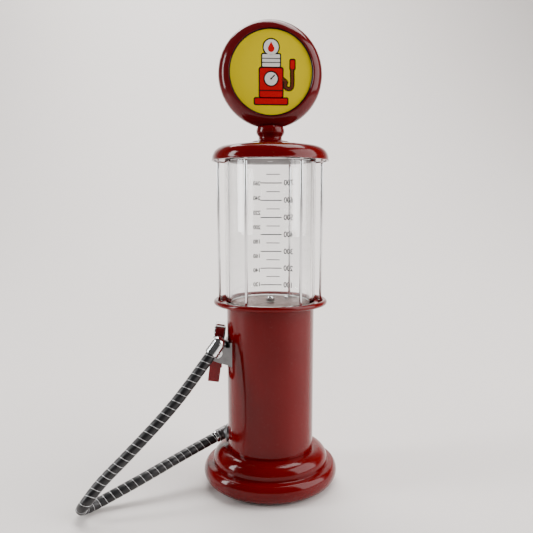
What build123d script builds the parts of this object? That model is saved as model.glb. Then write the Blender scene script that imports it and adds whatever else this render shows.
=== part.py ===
"""Table-top drinks dispenser in the shape of a visible petrol pump.

A ballasted round base carries a painted column. On the column stands a clear measuring tank,
clamped by six tie rods between a rimmed tray and a top ring. A domed lid with a round sign lifts
off for filling. Drink runs through the column to a hose with a trigger nozzle, which hangs in a
forked holster. Millimetres; +Z up, the sign faces -Y, the nozzle hangs on -X, and the origin is
the centre of the base on the table.
"""

import os
from math import asin, atan, cos, degrees, pi, radians, sin, sqrt, tan

from build123d import *

os.makedirs("parts", exist_ok=True)

# ---------------------------------------------------------------- driving dimensions
# base
foot_t = 1.0                # rubber ring under the base
foot_r_in, foot_r_out = 49.0, 57.0
lower_tier_r = 73.2
lower_tier_round = 13.0     # radius of the half-round lower tier
ledge_z = 23.0              # step between the two tiers
upper_tier_r = 62.7
shoulder_round = 13.4
base_top = 39.8
base_wall = 3.0
edge_round = 1.2            # softened edge and corner at the step
plate_t = 2.5
ballast_r, ballast_h, ballast_chamfer = 37.5, 20.0, 1.5
base_screw_pcd_r = 44.0
base_screw_r = 1.5
base_screw_len = 12.0
base_boss_r = 3.5
screw_head_r, screw_head_h = 2.8, 1.3

# column
column_r = 46.5
column_wall = 2.0
column_top = 198.0
spigot_h = 4.0              # collars of base and tray inside the column

# tray under the tank
bead_ring_r, bead_r = 57.5, 2.8
tray_web_t = 1.4
tank_floor_t = 1.0
gasket_t = 0.8
gasket_land = 4.0

# tank
tank_r = 47.5
tank_wall = 5.0             # bore 85 mm, so 100 ml is 17.6 mm deep
tank_h = 145.6

# tie rods
rod_count = 6
rod_ring_r = 54.0
rod_r = 1.5
rod_first_deg = -60.0       # polar angle of the first rod, the front being -90
rod_boss_r, rod_boss_h = 3.0, 2.4
rod_socket = 1.0            # web left under each blind socket
top_ring_r = 57.2
top_ring_t = 2.0
rod_nut_af, rod_nut_h = 5.0, 2.4

# lid
lid_r = 60.0
lid_wall = 2.0
lid_rim_h = 1.9             # upright part of the rim
lid_dome_h = 16.6
lid_shoulder = 12.4         # radius of the arc that turns the side into the wide crown
lid_lip = 0.6               # the rim's edge turns out by this much
lid_boss_r = 12.0
liner_flange_r = 47.0
liner_flange_t = 2.0
seal_t = 1.2
seal_r_in, seal_r_out = 43.5, 46.0

# neck and sign
neck_foot_r = 19.0
# heights of the neck and the sign are taken from the lid's crown
neck_waist_r, neck_waist_h = 12.6, 5.7
neck_bead_r, neck_bead_h = 15.0, 12.1
neck_h = 15.9
neck_lip = 0.8
sign_r = 52.7
sign_h = 66.8
sign_half = 13.5            # half the drum's depth at the face
sign_wall = 2.5
face_bore_r = 42.0
face_ledge_r = 39.5
face_ledge_y = 9.5
panel_t = 2.0
trim_r_in, trim_t = 40.8, 1.2
stud_r = 2.5

# drain and outlet
drain_shank_r, drain_bore_r = 3.5, 1.8
drain_head_af, drain_head_h = 8.5, 3.2
drain_lip_r, drain_lip_h = 3.2, 1.6
barb_r = 2.45
vent_x, vent_y = 19.0, 18.7
vent_r, vent_head_r = 1.6, 2.2
tube_r, tube_bore_r = 4.0, 2.5
outlet_z = 52.0
outlet_back_deg = 8.0       # the outlet is turned this far towards the back
elbow_x = 30.0              # elbow's distance from the column's axis
outlet_shank_r = 4.5
rosette_r, rosette_tip_r, rosette_len = 10.5, 7.0, 4.5

# nozzle, in its own frame: u towards the back, w up along the nozzle, v towards the column
nozzle_x, nozzle_z = -57.5, column_top - 51.5
nozzle_tilt = 8.0
nozzle_half = 6.0           # half the casing's thickness
casing_u = 16.0
casing_bottom, casing_top = -3.0, 29.0
cap_top = 31.5
cap_len, cap_chamfer = 18.0, 1.4
cover_t = 1.6               # thickness of the red grip cover
inlet_w = 16.0
barrel_w, barrel_r, barrel_half = 3.0, 5.5, 21.5
guard_t = 2.8
guard_bottom = -31.0
pivot_u, pivot_w = 6.5, -9.5
pin_r = 1.2
lever_t, lever_half_w = 2.6, 3.2
lever_eye = 1.3             # wall around the pin
lever_tip_u, lever_tip_w = -9.0, -17.5
stem_u, stem_r = -1.0, 1.0
spring_r, spring_wire_r, spring_turns = 1.8, 0.32, 5

# hose: points of its route, from the outlet to the nozzle
hose_d = 11.5
hose_route = [
    (-55.5, 5.5, 50.0),
    (-71.5, -0.5, 43.5),
    (-102.0, -18.5, 33.5),
    (-139.0, -41.0, 20.5),
    (-161.5, -52.0, 12.5),
    (-178.5, -59.5, 6.2),
    (-191.5, -74.5, 6.8),
    (-184.5, -87.5, 18.5),
    (-171.0, -77.5, 35.5),
    (-146.0, -71.5, 59.0),
    (-103.0, -52.0, nozzle_z - 46.0),
    (-77.0, -39.5, nozzle_z - 14.0),
    (-58.0, -31.0, nozzle_z + 11.5),
]
ferrule_r = 7.2
ferrule_run = 14.0          # length of the outlet's ferrule before it is cut flat
ferrule_grip = 9.0          # length of hose held in the nozzle's ferrule

# holster
arm_t = 3.0
arm_y = 19.5
arm_top = column_top - 43.0
holster_wall = 1.8
holster_low, holster_high = column_top - 64.0, column_top - 38.0
holster_slope = 22.5        # the fork opens outwards and up at this angle
holster_screw_z = (holster_low + 4.0, holster_high - 4.0)
holster_screw_r = 1.5

# clearances
fit = 0.3                   # between pieces that are glued or just pass
thread = 0.05               # around a screw or a stud
running = 0.05              # around a hinge pin
rest_gap = 0.05             # under the lid, on its seal
slot_gap = 0.3              # around the nozzle in its fork
seat_gap = 0.02             # between two curved pieces that sit on each other
stem_gap = 0.15             # around the valve's stem

pieces = {}


def keep(name, builder):
    builder.part.label = name
    pieces[name] = builder.part


def hex_nut(across_flats, hole_r, height, plane):
    """A hexagon nut standing on a plane."""
    with BuildPart() as nut:
        with BuildSketch(plane):
            RegularPolygon(across_flats / 2, 6, major_radius=False)
            Circle(hole_r, mode=Mode.SUBTRACT)
        extrude(amount=height)
    return nut


def ring(r_in, r_out, z_low, height):
    """A flat ring about the column's axis."""
    with BuildPart() as flat_ring:
        with BuildSketch(Plane.XY.offset(z_low)):
            Circle(r_out)
            Circle(r_in, mode=Mode.SUBTRACT)
        extrude(amount=height)
    return flat_ring


# ---------------------------------------------------------------- base
plate_low = foot_t
plate_top = plate_low + plate_t
tier_r = lower_tier_r - lower_tier_round
tier_z = foot_t + lower_tier_round
plate_r = tier_r - 1.7
inner_round = lower_tier_round - base_wall
ledge_r = tier_r + sqrt(lower_tier_round**2 - (ledge_z - tier_z) ** 2)
inner_ledge_z = ledge_z - base_wall
inner_ledge_r = tier_r + sqrt(inner_round**2 - (inner_ledge_z - tier_z) ** 2)
column_bore = column_r - column_wall
spigot_r = column_bore - fit
spigot_bore = spigot_r - base_wall

keep("foot_ring", ring(foot_r_in, foot_r_out, 0, foot_t))

with BuildPart() as base_shell:
    with BuildSketch(Plane.XZ) as section:
        with BuildLine():
            p0 = (plate_r + fit, foot_t)
            p1 = (tier_r, foot_t)
            p2 = (ledge_r, ledge_z)
            p3 = (upper_tier_r, ledge_z)
            p4 = (upper_tier_r, base_top - shoulder_round)
            p5 = (upper_tier_r - shoulder_round, base_top)
            p6 = (spigot_r, base_top)
            p7 = (spigot_r, base_top + spigot_h)
            p8 = (spigot_bore, base_top + spigot_h)
            p9 = (spigot_bore, base_top - base_wall)
            p10 = (upper_tier_r - shoulder_round, base_top - base_wall)
            p11 = (upper_tier_r - base_wall, base_top - shoulder_round)
            p12 = (upper_tier_r - base_wall, inner_ledge_z)
            p13 = (inner_ledge_r, inner_ledge_z)
            p14 = (tier_r, foot_t + base_wall)
            p15 = (plate_r + fit, foot_t + base_wall)
            Polyline(p15, p0, p1)
            ThreePointArc(p1, (lower_tier_r, tier_z), p2)
            Polyline(p2, p3, p4)
            RadiusArc(p4, p5, -shoulder_round)
            Polyline(p5, p6, p7, p8, p9, p10)
            RadiusArc(p10, p11, shoulder_round - base_wall)
            Polyline(p11, p12, p13)
            ThreePointArc(p13, (tier_r + inner_round, tier_z), p14)
            Line(p14, p15)
        make_face()
        corners = section.vertices().filter_by(lambda v: abs(v.Y - ledge_z) < 0.01)
        fillet(corners, edge_round)
    revolve(axis=Axis.Z)
    with BuildSketch(Plane.XY.offset(plate_top)):
        with PolarLocations(base_screw_pcd_r, 3, 90):
            Circle(base_boss_r)
    extrude(amount=base_top - base_wall - plate_top)
    with BuildSketch(Plane.XY.offset(plate_top)):
        with PolarLocations(base_screw_pcd_r, 3, 90):
            Circle(base_screw_r + thread)
    extrude(amount=base_screw_len, mode=Mode.SUBTRACT)
keep("base_shell", base_shell)

with BuildPart() as base_plate:
    with BuildSketch(Plane.XY.offset(plate_low)):
        Circle(plate_r)
    extrude(amount=plate_t)
    with BuildSketch(Plane.XY.offset(plate_low)):
        with PolarLocations(base_screw_pcd_r, 3, 90):
            Circle(base_screw_r + thread)
        Circle(base_screw_r + thread)
    extrude(amount=plate_t, mode=Mode.SUBTRACT)
    with BuildSketch(Plane.XY.offset(plate_low)):
        with PolarLocations(base_screw_pcd_r, 3, 90):
            Circle(screw_head_r + thread)
        Circle(screw_head_r + thread)
    extrude(amount=screw_head_h + thread, mode=Mode.SUBTRACT)
keep("base_plate", base_plate)

with BuildPart() as ballast_weight:
    with BuildSketch(Plane.XY.offset(plate_top)):
        Circle(ballast_r)
    extrude(amount=ballast_h)
    chamfer(ballast_weight.faces().sort_by(Axis.Z)[-1].edges(), ballast_chamfer)
    with BuildSketch(Plane.XY.offset(plate_top)):
        Circle(base_screw_r + thread)
    extrude(amount=base_screw_len, mode=Mode.SUBTRACT)
keep("ballast_weight", ballast_weight)

with BuildPart() as base_screws:
    for radius, count in ((base_screw_pcd_r, 3), (0, 1)):
        with BuildSketch(Plane.XY.offset(plate_low)):
            with PolarLocations(radius, count, 90):
                Circle(screw_head_r)
        extrude(amount=screw_head_h)
        with BuildSketch(Plane.XY.offset(plate_low)):
            with PolarLocations(radius, count, 90):
                Circle(base_screw_r)
        extrude(amount=base_screw_len)
keep("base_screws", base_screws)

# ---------------------------------------------------------------- column
outlet_dir = Vector(-cos(radians(outlet_back_deg)), sin(radians(outlet_back_deg)), 0)


def outlet_plane(distance):
    """A plane across the outlet's axis, this far from the column's axis, facing outwards."""
    return Plane(origin=outlet_dir * distance + Vector(0, 0, outlet_z), z_dir=outlet_dir)


def holster_plane(distance, height):
    """A plane across a holster screw, facing outwards from the column."""
    return Plane(origin=(-distance, 0, height), z_dir=(-1, 0, 0))


with BuildPart() as column_tube:
    with BuildSketch(Plane.XY.offset(base_top)):
        Circle(column_r)
        Circle(column_bore, mode=Mode.SUBTRACT)
    extrude(amount=column_top - base_top)
    with BuildSketch(outlet_plane(column_bore - 5)):
        Circle(outlet_shank_r + fit)
    extrude(amount=10, mode=Mode.SUBTRACT)
    for height in holster_screw_z:
        with BuildSketch(holster_plane(column_bore - 5, height)):
            Circle(holster_screw_r + thread)
        extrude(amount=10, mode=Mode.SUBTRACT)
keep("column_tube", column_tube)

# ---------------------------------------------------------------- tray and tank floor
web_top = column_top + tray_web_t
bead_z = column_top + bead_r
floor_top = web_top + tank_floor_t
land_r = tank_r - 0.6
land_bore = land_r - gasket_land
rod_boss_top = web_top + rod_boss_h
rod_bottom = column_top + rod_socket

with BuildPart() as tray_flange:
    with BuildSketch(Plane.XZ):
        with Locations((bead_ring_r, bead_z)):
            Circle(bead_r)
        with Locations((0, column_top)):
            Rectangle(bead_ring_r, tray_web_t, align=(Align.MIN, Align.MIN))
        with Locations((spigot_r, column_top)):
            Rectangle(base_wall, spigot_h, align=(Align.MAX, Align.MAX))
    revolve(axis=Axis.Z)
    with BuildSketch(Plane.XY.offset(column_top)):
        with PolarLocations(rod_ring_r, rod_count, rod_first_deg):
            Circle(rod_boss_r)
    extrude(amount=rod_boss_top - column_top)
    with BuildSketch(Plane.XY.offset(rod_bottom)):
        with PolarLocations(rod_ring_r, rod_count, rod_first_deg):
            Circle(rod_r + thread)
    extrude(amount=20, mode=Mode.SUBTRACT)
    with BuildSketch(Plane.XY.offset(column_top - 1)):
        Circle(drain_shank_r + fit)
        with Locations((vent_x, vent_y)):
            Circle(vent_r + fit)
    extrude(amount=tray_web_t + 2, mode=Mode.SUBTRACT)
keep("tray_flange", tray_flange)

with BuildPart() as tank_floor:
    with BuildSketch(Plane.XY.offset(web_top)):
        Circle(land_r)
        Circle(drain_shank_r + fit, mode=Mode.SUBTRACT)
        with Locations((vent_x, vent_y)):
            Circle(vent_r + fit, mode=Mode.SUBTRACT)
    extrude(amount=tank_floor_t)
keep("tank_floor", tank_floor)

# ---------------------------------------------------------------- tank, rods and top ring
tank_bottom = floor_top + gasket_t
tank_top = tank_bottom + tank_h
tank_bore = tank_r - tank_wall
ring_low = tank_top + gasket_t
ring_top = ring_low + top_ring_t
rod_top = ring_top + rod_nut_h + 0.4

keep("tank_gasket_lower", ring(land_bore, land_r, floor_top, gasket_t))

with BuildPart() as tank_glass:
    with BuildSketch(Plane.XY.offset(tank_bottom)):
        Circle(tank_r)
        Circle(tank_bore, mode=Mode.SUBTRACT)
    extrude(amount=tank_h)
    chamfer(tank_glass.edges().filter_by(GeomType.CIRCLE), 0.4)
keep("tank_glass", tank_glass)

keep("tank_gasket_upper", ring(land_bore, land_r, tank_top, gasket_t))

with BuildPart() as top_ring:
    with BuildSketch(Plane.XY.offset(ring_low)):
        Circle(top_ring_r)
        Circle(tank_bore, mode=Mode.SUBTRACT)
        with PolarLocations(rod_ring_r, rod_count, rod_first_deg):
            Circle(rod_r + thread, mode=Mode.SUBTRACT)
    extrude(amount=top_ring_t)
keep("top_ring", top_ring)

for number, place in enumerate(PolarLocations(rod_ring_r, rod_count, rod_first_deg)):
    foot = place.position + Vector(0, 0, rod_bottom)
    with BuildPart() as tie_rod:
        with BuildSketch(Plane(origin=foot)):
            Circle(rod_r)
        extrude(amount=rod_top - rod_bottom)
        chamfer(tie_rod.edges().filter_by(GeomType.CIRCLE), 0.25)
    keep(f"tie_rod_{number + 1}", tie_rod)

with BuildPart() as rod_nuts:
    with BuildSketch(Plane.XY.offset(ring_top)):
        with PolarLocations(rod_ring_r, rod_count, rod_first_deg):
            RegularPolygon(rod_nut_af / 2, 6, major_radius=False)
            Circle(rod_r + thread, mode=Mode.SUBTRACT)
    extrude(amount=rod_nut_h)
keep("rod_nuts", rod_nuts)

keep("lid_seal", ring(seal_r_in, seal_r_out, ring_top, seal_t))

# ---------------------------------------------------------------- drain
washer_top = floor_top + gasket_t
drain_foot = column_top - 12.0
barb_end = drain_foot - 12.0
drain_nut_h, drain_nut_af = 4.0, 11.0
vent_nut_h, vent_nut_af = 2.4, 6.0
vent_head_h, vent_head_round = 3.0, 1.0
vent_foot = column_top - 4.5
drain_lip_round = 0.7

with BuildPart() as drain_fitting:
    with BuildSketch(Plane.XY.offset(washer_top)):
        RegularPolygon(drain_head_af / 2, 6, major_radius=False)
    extrude(amount=drain_head_h)
    with BuildSketch(Plane.XY.offset(washer_top + drain_head_h)):
        Circle(drain_lip_r)
    extrude(amount=drain_lip_h)
    fillet(drain_fitting.faces().sort_by(Axis.Z)[-1].edges(), drain_lip_round)
    with BuildSketch(Plane.XY.offset(drain_foot)):
        Circle(drain_shank_r)
    extrude(amount=washer_top - drain_foot)
    with BuildSketch(Plane.XY.offset(barb_end)):
        Circle(barb_r)
    extrude(amount=drain_foot - barb_end)
    with BuildSketch(Plane.XY.offset(barb_end)):
        Circle(drain_bore_r)
    extrude(amount=washer_top + drain_head_h + drain_lip_h - barb_end, mode=Mode.SUBTRACT)
keep("drain_fitting", drain_fitting)

keep("drain_washer", ring(drain_shank_r + thread, drain_head_af / 2, floor_top, gasket_t))

keep("drain_nut", hex_nut(drain_nut_af, drain_shank_r + thread, drain_nut_h,
                          Plane.XY.offset(column_top - drain_nut_h)))

with BuildPart() as vent_screw:
    with BuildSketch(Plane(origin=(vent_x, vent_y, floor_top))):
        Circle(vent_head_r)
    extrude(amount=vent_head_h)
    fillet(vent_screw.faces().sort_by(Axis.Z)[-1].edges(), vent_head_round)
    with BuildSketch(Plane(origin=(vent_x, vent_y, vent_foot))):
        Circle(vent_r)
    extrude(amount=floor_top - vent_foot)
keep("vent_screw", vent_screw)

keep("vent_nut", hex_nut(vent_nut_af, vent_r + thread, vent_nut_h,
                         Plane(origin=(vent_x, vent_y, column_top - vent_nut_h))))

# ---------------------------------------------------------------- outlet
elbow_body_r, elbow_body_half = 5.5, 5.0
elbow_barb_low = outlet_z + elbow_body_half
elbow_barb_top = outlet_z + 22.0
tube_low = elbow_barb_low + 4.0
tube_high = drain_foot - 0.5
tube_run = tube_high - tube_low
tube_bend_high = tube_high - 0.27 * tube_run
tube_bend_low = tube_low + 0.3 * tube_run
tube_bend_r = 0.38 * tube_run
clamp_t, clamp_h = 1.1, 4.0
outlet_nut_af, outlet_nut_h, outlet_nut_at = 12.5, 3.0, 39.5
rosette_flat = 0.8          # straight part of the rosette outside the column
ferrule_end_r = rosette_tip_r - 0.2
hose_start = Vector(*hose_route[0])
first_run = (Vector(*hose_route[1]) - hose_start).normalized()
shank_end = column_r + rosette_len


def radial(distance, height):
    """A point in the vertical plane of the outlet, at this distance from the column's axis."""
    return outlet_dir * distance + Vector(0, 0, height)


with BuildPart() as outlet_elbow:
    with BuildSketch(Plane(origin=radial(elbow_x, outlet_z - elbow_body_half))):
        Circle(elbow_body_r)
    extrude(amount=2 * elbow_body_half)
    with BuildSketch(Plane(origin=radial(elbow_x, elbow_barb_low))):
        Circle(barb_r)
    extrude(amount=elbow_barb_top - elbow_barb_low)
    with BuildSketch(outlet_plane(elbow_x)):
        Circle(outlet_shank_r)
    extrude(amount=shank_end - elbow_x)
    with BuildSketch(Plane(origin=radial(elbow_x, outlet_z))):
        Circle(drain_bore_r)
    extrude(amount=elbow_barb_top - outlet_z, mode=Mode.SUBTRACT)
    with BuildSketch(outlet_plane(elbow_x)):
        Circle(drain_bore_r)
    extrude(amount=shank_end - elbow_x, mode=Mode.SUBTRACT)
keep("outlet_elbow", outlet_elbow)

keep("outlet_nut", hex_nut(outlet_nut_af, outlet_shank_r + thread, outlet_nut_h,
                           outlet_plane(outlet_nut_at)))

cone_len = rosette_len - rosette_flat
cone_taper = degrees(atan((rosette_r - rosette_tip_r) / cone_len))
with BuildPart() as outlet_rosette:
    with BuildSketch(outlet_plane(column_bore)):
        Circle(rosette_r)
    extrude(amount=column_wall + rosette_flat)
    with BuildSketch(outlet_plane(column_r + rosette_flat)):
        Circle(rosette_r)
    extrude(amount=cone_len, taper=cone_taper)
    with BuildSketch(outlet_plane(0)):
        Circle(outlet_shank_r + thread)
    extrude(amount=shank_end, mode=Mode.SUBTRACT)
    with BuildSketch(Plane.XY.offset(outlet_z - 2 * rosette_r)):
        Circle(column_r + seat_gap)
    extrude(amount=4 * rosette_r, mode=Mode.SUBTRACT)
keep("outlet_rosette", outlet_rosette)

with BuildPart() as outlet_ferrule:
    with BuildSketch(Plane(origin=hose_start - first_run * ferrule_run, z_dir=first_run)):
        Circle(ferrule_end_r)
    extrude(amount=ferrule_run)
    with BuildSketch(outlet_plane(0)):
        Circle(column_r)
    extrude(amount=shank_end, mode=Mode.SUBTRACT)
keep("outlet_ferrule", outlet_ferrule)

with BuildPart() as feed_tube:
    with BuildLine():
        run = FilletPolyline(radial(0, tube_high), radial(0, tube_bend_high),
                             radial(elbow_x, tube_bend_low), radial(elbow_x, tube_low),
                             radius=tube_bend_r)
    with BuildSketch(Plane(origin=radial(0, tube_high), z_dir=(0, 0, -1))):
        Circle(tube_r)
        Circle(tube_bore_r, mode=Mode.SUBTRACT)
    sweep()
keep("feed_tube", feed_tube)

with BuildPart() as tube_clamps:
    for place in (radial(0, drain_foot - 8.0), radial(elbow_x, tube_low + 3.0)):
        with BuildSketch(Plane(origin=place)):
            Circle(tube_r + clamp_t)
            Circle(tube_r + thread, mode=Mode.SUBTRACT)
        extrude(amount=clamp_h)
keep("tube_clamps", tube_clamps)

# ---------------------------------------------------------------- lid
lid_edge_z = tank_top        # lower edge of the rim
rim_top = lid_edge_z + lid_rim_h
lid_crown = rim_top + lid_dome_h
liner_low = lid_edge_z - 0.4
flange_low = ring_top + seal_t + rest_gap
flange_top = flange_low + liner_flange_t
plug_r = tank_bore - fit - 0.3
stud_low = flange_top + 3.0  # the screw from below and the stud meet in the boss


crown_r = ((lid_r - lid_shoulder) ** 2 + lid_dome_h**2 - lid_shoulder**2) / (
    2 * (lid_dome_h - lid_shoulder))
crown_half_angle = asin((lid_r - lid_shoulder) / (crown_r - lid_shoulder))


def crown_point(radius, half_angle):
    """A point on a crown arc of this radius, at this angle from the column's axis."""
    centre_z = lid_crown - crown_r
    return (radius * sin(half_angle), centre_z + radius * cos(half_angle))


with BuildPart() as lid:
    with BuildSketch(Plane.XZ):
        with BuildLine():
            bore = lid_r - lid_wall
            Polyline((bore, rim_top), (bore, lid_edge_z), (lid_r + lid_lip, lid_edge_z),
                     (lid_r + lid_lip, lid_edge_z + lid_lip), (lid_r, rim_top))
            for rim, inset in ((lid_r, 0), (bore, lid_wall)):
                join = crown_point(crown_r - inset, crown_half_angle)
                RadiusArc((rim, rim_top), join, inset - lid_shoulder)
                RadiusArc(join, crown_point(crown_r - inset, 0), inset - crown_r)
            Line((0, lid_crown), (0, lid_crown - lid_wall))
        make_face()
    revolve(axis=Axis.Z)
    with BuildSketch(Plane.XY.offset(flange_top)):
        Circle(lid_boss_r)
    extrude(amount=lid_crown - lid_wall - flange_top + lid_wall / 4)
    with BuildSketch(Plane.XY.offset(flange_top)):
        Circle(base_screw_r + thread)
    extrude(amount=stud_low - flange_top, mode=Mode.SUBTRACT)
    with BuildSketch(Plane.XY.offset(stud_low)):
        Circle(stud_r + thread)
    extrude(amount=lid_crown - stud_low, mode=Mode.SUBTRACT)
keep("lid", lid)

with BuildPart() as lid_liner:
    with BuildSketch(Plane.XY.offset(liner_low)):
        Circle(plug_r)
    extrude(amount=flange_low - liner_low)
    fillet(lid_liner.faces().sort_by(Axis.Z)[0].edges(), 1.0)
    with BuildSketch(Plane.XY.offset(flange_low)):
        Circle(liner_flange_r)
    extrude(amount=liner_flange_t)
    with BuildSketch(Plane.XY.offset(liner_low)):
        Circle(base_screw_r + thread)
    extrude(amount=flange_top - liner_low, mode=Mode.SUBTRACT)
    with BuildSketch(Plane.XY.offset(liner_low)):
        Circle(screw_head_r + thread)
    extrude(amount=screw_head_h + thread, mode=Mode.SUBTRACT)
keep("lid_liner", lid_liner)

with BuildPart() as liner_screw:
    with BuildSketch(Plane.XY.offset(liner_low)):
        Circle(screw_head_r)
    extrude(amount=screw_head_h)
    with BuildSketch(Plane.XY.offset(liner_low)):
        Circle(base_screw_r)
    extrude(amount=stud_low - liner_low - 0.3)
keep("liner_screw", liner_screw)

# ---------------------------------------------------------------- neck and sign
sign_z = lid_crown + sign_h
sign_bottom = sign_z - sign_r
neck_top_z = lid_crown + neck_h
neck_bead_z = lid_crown + neck_bead_h
neck_waist_z = lid_crown + neck_waist_h
stud_top = sign_bottom + sign_wall + 6.5
sign_nut_h, sign_nut_af = 3.5, 9.0
sign_nut_low = sign_bottom + sign_wall + 2.2
drum_edge_r = face_bore_r + 1.0
inner_edge_r = face_bore_r + 3.4


def sign_arc(radius, half, bore):
    """The drum's bulging outline in its (radius, depth) section."""
    ThreePointArc((bore, -half), (radius, 0), (bore, half))


seat_r = crown_r + seat_gap
foot_point = crown_point(seat_r, asin(neck_foot_r / seat_r))
bore_point = crown_point(seat_r, asin((stud_r + thread) / seat_r))
foot_lip = (neck_foot_r, lid_crown + neck_lip)
top_point = (neck_bead_r - 1.8, neck_top_z)
with BuildPart() as neck:
    with BuildSketch(Plane.XZ):
        with BuildLine():
            RadiusArc(foot_point, bore_point, -seat_r)
            Polyline(bore_point, (stud_r + thread, neck_top_z), top_point)
            Spline(top_point, (neck_bead_r, neck_bead_z), (neck_waist_r, neck_waist_z),
                   foot_lip, tangents=[(1, -0.6), (1, -0.35)])
            Line(foot_lip, foot_point)
        make_face()
    revolve(axis=Axis.Z)
    with BuildSketch(Plane.XY.offset(sign_z)):
        with BuildLine():
            sign_arc(sign_r + thread, sign_half + thread, drum_edge_r)
            Line((drum_edge_r, sign_half + thread), (drum_edge_r, -sign_half - thread))
        make_face()
    revolve(axis=Axis((0, 0, sign_z), (0, 1, 0)), mode=Mode.SUBTRACT)
keep("neck", neck)

with BuildPart() as neck_stud:
    with BuildSketch(Plane.XY.offset(stud_low)):
        Circle(stud_r)
    extrude(amount=stud_top - stud_low)
keep("neck_stud", neck_stud)

keep("neck_nut", hex_nut(sign_nut_af, stud_r + thread, sign_nut_h,
                         Plane.XY.offset(sign_nut_low)))

inner_arc_r = sign_r - sign_wall
ledge_back = face_ledge_y - 1.5
with BuildPart() as sign_shell:
    with BuildSketch(Plane.XY.offset(sign_z)):
        with BuildLine():
            sign_arc(sign_r, sign_half, drum_edge_r)
            for side in (1, -1):
                Polyline((drum_edge_r, side * sign_half), (face_bore_r, side * sign_half),
                         (face_bore_r, side * face_ledge_y), (face_ledge_r, side * face_ledge_y),
                         (face_ledge_r, side * ledge_back), (inner_edge_r, side * ledge_back))
            sign_arc(inner_arc_r, ledge_back, inner_edge_r)
        make_face()
    revolve(axis=Axis((0, 0, sign_z), (0, 1, 0)))
    with BuildSketch(Plane.XY.offset(sign_bottom - 1)):
        Circle(stud_r + thread)
    extrude(amount=2 * sign_wall, mode=Mode.SUBTRACT)
keep("sign_shell", sign_shell)

for side, end in ((-1, "front"), (1, "rear")):
    with BuildPart() as sign_panel:
        with BuildSketch(Plane(origin=(0, side * face_ledge_y, sign_z), z_dir=(0, side, 0))):
            Circle(face_bore_r - thread)
        extrude(amount=panel_t)
    keep(f"sign_panel_{end}", sign_panel)
    with BuildPart() as panel_trim:
        trim_y = side * (face_ledge_y + panel_t)
        with BuildSketch(Plane(origin=(0, trim_y, sign_z), z_dir=(0, side, 0))):
            Circle(face_bore_r - thread)
            Circle(trim_r_in, mode=Mode.SUBTRACT)
        extrude(amount=trim_t)
    keep(f"panel_trim_{end}", panel_trim)

# ---------------------------------------------------------------- nozzle
lean = radians(nozzle_tilt)
nozzle_frame = Plane(origin=(nozzle_x, 0, nozzle_z), x_dir=(0, 1, 0),
                     z_dir=(cos(lean), 0, -sin(lean)))


def spot(u, w, v=0.0):
    """A point given in the nozzle's own frame."""
    return nozzle_frame.from_local_coords(Vector(u, w, v))


def across(u, w):
    """A plane across the nozzle's long direction, facing the back."""
    return Plane(origin=spot(u, w), z_dir=(0, 1, 0))


up_nozzle = nozzle_frame.y_dir
stem_low = -11.1
chamber_low, chamber_top = 2.5, 15.2
collar_low, collar_t = 4.0, 1.0
inlet_end = 24.0            # the inlet's far end, towards the front
inlet_r = nozzle_half - 0.3
casing_round, casing_chamfer = 2.0, 1.0
side_axis = Axis((0, 0, 0), nozzle_frame.z_dir)
up_axis = Axis((0, 0, 0), up_nozzle)

with BuildPart() as nozzle_body:
    with BuildSketch(nozzle_frame):
        with BuildLine():
            Polyline((-casing_u, casing_bottom), (-casing_u, 16), (-10, casing_top),
                     (9, casing_top), (casing_u, 20), (casing_u, casing_bottom),
                     (-casing_u, casing_bottom))
        make_face()
    extrude(amount=nozzle_half, both=True)
    fillet(nozzle_body.edges().filter_by(side_axis), casing_round)
    chamfer(nozzle_body.faces().sort_by(side_axis)[-1].edges(), casing_chamfer)
    chamfer(nozzle_body.faces().sort_by(side_axis)[0].edges(), casing_chamfer)
    with BuildSketch(across(-barrel_half, barrel_w)):
        Circle(barrel_r)
    extrude(amount=2 * barrel_half)
    with BuildSketch(across(-inlet_end, inlet_w)):
        Circle(inlet_r)
    extrude(amount=inlet_end - casing_u + casing_round)
    with BuildSketch(Plane(origin=spot(stem_u, casing_bottom - 3), z_dir=up_nozzle)):
        Circle(stem_r + stem_gap)
    extrude(amount=10, mode=Mode.SUBTRACT)
    with BuildSketch(Plane(origin=spot(stem_u, chamber_low), z_dir=up_nozzle)):
        Circle(spring_r + spring_wire_r + fit)
    extrude(amount=chamber_top - chamber_low, mode=Mode.SUBTRACT)
keep("nozzle_body", nozzle_body)

with BuildPart() as nozzle_cap:
    with BuildSketch(nozzle_frame):
        with Locations((-0.5, casing_top)):
            Rectangle(cap_len, cap_top - casing_top, align=(Align.CENTER, Align.MIN))
    extrude(amount=nozzle_half - 1.0, both=True)
    chamfer(nozzle_cap.faces().sort_by(up_axis)[-1].edges(), cap_chamfer)
keep("nozzle_cap", nozzle_cap)

with BuildPart() as grip_cover:
    with BuildSketch(nozzle_frame):
        with BuildLine():
            Polyline((-casing_u, 8), (-casing_u, 16), (-10.6, casing_top - 1.3),
                     (-10.6 - cover_t, casing_top - 1.0), (-casing_u - cover_t, 16.4),
                     (-casing_u - cover_t, 8),
                     (-casing_u, 8))
        make_face()
    extrude(amount=nozzle_half - 1.6, both=True)
    with BuildSketch(across(-inlet_end, inlet_w)):
        Circle(inlet_r + thread)
    extrude(amount=inlet_end, mode=Mode.SUBTRACT)
    add(nozzle_body.part, mode=Mode.SUBTRACT)
keep("grip_cover", grip_cover)

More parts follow.
